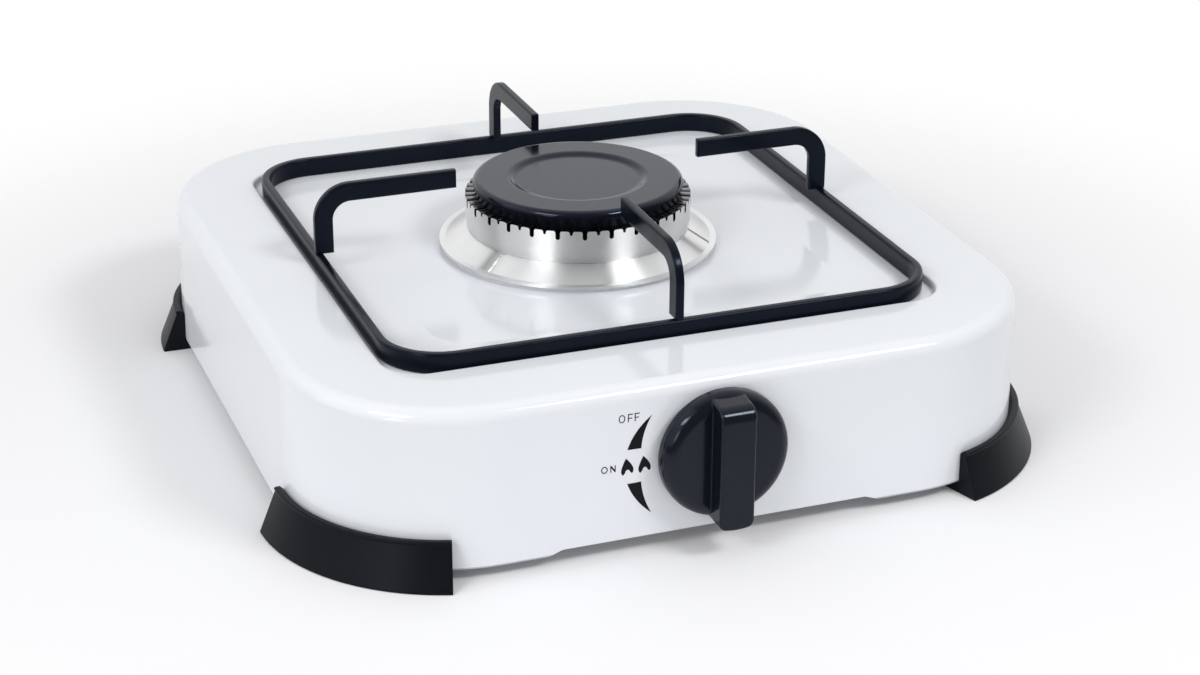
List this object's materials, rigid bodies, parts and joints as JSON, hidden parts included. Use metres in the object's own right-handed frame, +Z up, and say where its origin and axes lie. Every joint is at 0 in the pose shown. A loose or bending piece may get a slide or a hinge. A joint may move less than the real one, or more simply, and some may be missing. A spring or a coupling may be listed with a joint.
{
  "type": "portable gas stove",
  "caption": "One-burner tabletop gas stove: square enamelled casing on corner feet, lift-off pan grate, capped burner and a push-and-turn knob.",
  "frame": {"origin": "on the burner's axis at table height, which is the centre of the stove's underside", "axes": "+X right as seen from the knob's side, +Y to the rear, +Z up"},
  "size_m": [0.2778, 0.296, 0.0886],
  "materials": {
    "white_enamel": "glossy vitreous enamel",
    "black_enamel": "semi-gloss black enamel",
    "aluminium": "polished",
    "foot_plastic": "satin moulded",
    "knob_plastic": "glossy moulded",
    "plated_steel": "zinc plated",
    "brass": "machined",
    "pipe_aluminium": "drawn tube",
    "fibre": "pressed fibre"
  },
  "bodies": {
    "casing": {"top_casing": "white_enamel", "burner_flange": "aluminium", "burner_crown": "aluminium", "foot_front_left": "foot_plastic", "foot_front_right": "foot_plastic", "foot_rear_left": "foot_plastic", "foot_rear_right": "foot_plastic", "foot_screws": "plated_steel", "burner_screws": "plated_steel", "burner_strap": "plated_steel", "valve_bracket": "plated_steel", "mixing_tube": "plated_steel", "valve_nut": "plated_steel", "connector_nut": "plated_steel", "valve_body": "brass", "valve_gland": "brass", "injector": "brass", "hose_connector": "brass", "pipe_nuts": "brass", "supply_pipe": "pipe_aluminium", "connector_washer": "fibre"},
    "plug": {"valve_plug": "brass", "valve_spring": "plated_steel"},
    "knob": {"knob": "knob_plastic", "valve_spindle": "plated_steel", "knob_clip": "plated_steel"},
    "grate": {"grate_ring": "black_enamel", "grate_prong_front": "black_enamel", "grate_prong_left": "black_enamel", "grate_prong_right": "black_enamel", "grate_prong_rear": "black_enamel"},
    "cap": {"burner_cap": "black_enamel"}
  },
  "joints": [
    {"name": "knob_turn", "type": "hinge", "parent": "casing", "child": "plug", "pos_m": [0, -0.13159, 0.0334], "axis": [0, -1, 0], "range_deg": [0, 180]},
    {"name": "knob_push", "type": "slide", "parent": "plug", "child": "knob", "axis": [0, 1, 0], "range_m": [0, 0.0018], "stiffness_N_per_m": 800, "springref_m": -0.004, "deforming": ["valve_spring"]},
    {"name": "grate_lift", "type": "slide", "parent": "casing", "child": "grate", "axis": [0, 0, 1], "range_m": [0, 0.06]},
    {"name": "cap_lift", "type": "slide", "parent": "casing", "child": "cap", "axis": [0, 0, 1], "range_m": [0, 0.05]}
  ]
}
